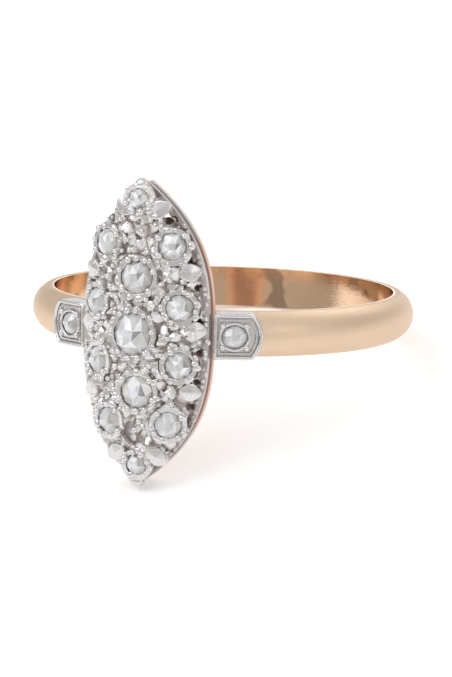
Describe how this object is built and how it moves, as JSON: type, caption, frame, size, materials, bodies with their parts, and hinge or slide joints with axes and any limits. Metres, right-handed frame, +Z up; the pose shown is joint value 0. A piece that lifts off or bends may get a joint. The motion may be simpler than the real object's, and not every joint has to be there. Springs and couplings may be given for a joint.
{
  "type": "navette cluster ring",
  "caption": "Navette cluster ring: half-round gold shank with a long pointed domed silver head set with rose-cut stones, and a stone-set silver plate on each shoulder.",
  "frame": {"origin": "middle of the ring's footprint, on the surface that it lies on", "axes": "+Z up from the surface; +Y from the head towards the back of the shank; +X to the right seen from the head. The ring lies on its side, so its own axis leans 18.4 degrees from +Z towards +Y"},
  "size_m": [0.0192, 0.0215, 0.0139],
  "materials": {
    "rose_gold": "polished, softly worn",
    "silver": "bright with darker recesses",
    "rose_cut_stone": "faceted and clear"
  },
  "bodies": {
    "root": {"shank": "rose_gold", "setting": "silver", "shoulder_plate_right": "silver", "shoulder_plate_left": "silver", "stone_centre": "rose_cut_stone", "stone_upper": "rose_cut_stone", "stone_lower": "rose_cut_stone", "stone_tip_upper": "rose_cut_stone", "stone_tip_lower": "rose_cut_stone", "stone_right_1": "rose_cut_stone", "stone_right_2": "rose_cut_stone", "stone_right_3": "rose_cut_stone", "stone_right_4": "rose_cut_stone", "stone_left_1": "rose_cut_stone", "stone_left_2": "rose_cut_stone", "stone_left_3": "rose_cut_stone", "stone_left_4": "rose_cut_stone", "stone_shoulder_right": "rose_cut_stone", "stone_shoulder_left": "rose_cut_stone"}
  },
  "joints": []
}
